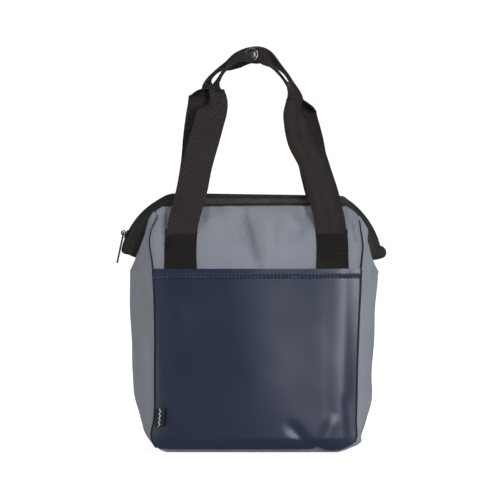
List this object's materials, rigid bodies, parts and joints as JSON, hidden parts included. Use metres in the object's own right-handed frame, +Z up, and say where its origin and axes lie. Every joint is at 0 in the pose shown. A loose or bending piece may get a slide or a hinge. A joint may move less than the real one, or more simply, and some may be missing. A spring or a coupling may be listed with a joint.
{
  "type": "insulated cooler bag",
  "caption": "Soft zip-top insulated lunch tote with a front slip pocket, bulging side gussets and two webbing handles that snap together.",
  "frame": {"origin": "centre of the base, on the surface that the bag stands on", "axes": "+X across the bag to the right seen from the front, -Y out of the front pocket, +Z up"},
  "size_m": [0.284, 0.159, 0.427],
  "materials": {
    "shell_fabric": "grey woven polyester, fine plain weave",
    "pocket_fabric": "dark navy satin-faced woven polyester",
    "trim_fabric": "black piping and zipper fabric",
    "webbing": "black ribbed polypropylene webbing",
    "label_fabric": "small folded woven tab",
    "foam": "closed-cell polyethylene foam",
    "liner": "wipe-clean heat-sealed liner",
    "board": "stiff base board",
    "zip_teeth": "black nylon teeth",
    "snap_dark": "dark lacquered snap cap",
    "snap_bright": "plated snap parts",
    "slider_metal": "black enamelled zinc"
  },
  "bodies": {
    "bag": {"back_foam": "foam", "back_liner": "liner", "back_panel": "shell_fabric", "back_piping": "trim_fabric", "base_board": "board", "base_foam": "foam", "base_liner": "liner", "base_panel": "shell_fabric", "front_foam": "foam", "front_liner": "liner", "front_panel": "shell_fabric", "front_piping": "trim_fabric", "front_pocket": "pocket_fabric", "left_end_tab": "trim_fabric", "left_gusset": "shell_fabric", "left_gusset_foam": "foam", "left_gusset_fold": "shell_fabric", "left_gusset_liner": "liner", "left_strap_tail": "webbing", "left_wing_back": "trim_fabric", "left_wing_front": "trim_fabric", "left_wing_teeth": "zip_teeth", "pocket_hem": "pocket_fabric", "right_end_tab": "trim_fabric", "right_gusset": "shell_fabric", "right_gusset_foam": "foam", "right_gusset_fold": "shell_fabric", "right_gusset_liner": "liner", "right_strap_tail": "webbing", "right_wing_back": "trim_fabric", "right_wing_front": "trim_fabric", "right_wing_teeth": "zip_teeth", "side_label": "label_fabric"},
    "front_mouth": {"front_left_strap_anchor": "webbing", "front_right_strap_anchor": "webbing", "front_upper_foam": "foam", "front_upper_liner": "liner", "front_upper_panel": "shell_fabric", "front_upper_piping": "trim_fabric", "front_zip_band": "trim_fabric", "front_zip_teeth": "zip_teeth"},
    "back_mouth": {"back_left_strap_anchor": "webbing", "back_right_strap_anchor": "webbing", "back_upper_foam": "foam", "back_upper_liner": "liner", "back_upper_panel": "shell_fabric", "back_upper_piping": "trim_fabric", "back_zip_band": "trim_fabric", "back_zip_teeth": "zip_teeth"},
    "front_handle": {"front_handle_webbing": "webbing", "snap_cap": "snap_dark", "snap_socket": "snap_bright"},
    "back_handle": {"back_handle_webbing": "webbing", "snap_rivet": "snap_bright", "snap_stud": "snap_bright"},
    "slider": {"slider_bail": "slider_metal", "zipper_slider": "slider_metal"},
    "puller": {"zipper_puller": "slider_metal"}
  },
  "joints": [
    {"name": "front_mouth_hinge", "type": "hinge", "parent": "bag", "child": "front_mouth", "pos_m": [0, -0.075, 0.188], "axis": [1, 0, 0], "range_deg": [0, 38]},
    {"name": "back_mouth_hinge", "type": "hinge", "parent": "bag", "child": "back_mouth", "pos_m": [0, 0.075, 0.188], "axis": [-1, 0, 0], "range_deg": [0, 38]},
    {"name": "front_handle_swing", "type": "hinge", "parent": "front_mouth", "child": "front_handle", "pos_m": [0, -0.04675, 0.22688], "axis": [1, 0, 0], "range_deg": [0, 140]},
    {"name": "back_handle_swing", "type": "hinge", "parent": "back_mouth", "child": "back_handle", "pos_m": [0, 0.04675, 0.22688], "axis": [-1, 0, 0], "range_deg": [0, 140]},
    {"name": "slider_track", "type": "hinge", "parent": "bag", "child": "slider", "pos_m": [-0.0644, 0, 0.1912], "axis": [0, 1, 0], "range_deg": [0, 30]},
    {"name": "puller_swing", "type": "hinge", "parent": "slider", "child": "puller", "pos_m": [-0.14216, 0, 0.22746], "axis": [0, 1, 0], "range_deg": [0, 165]}
  ]
}
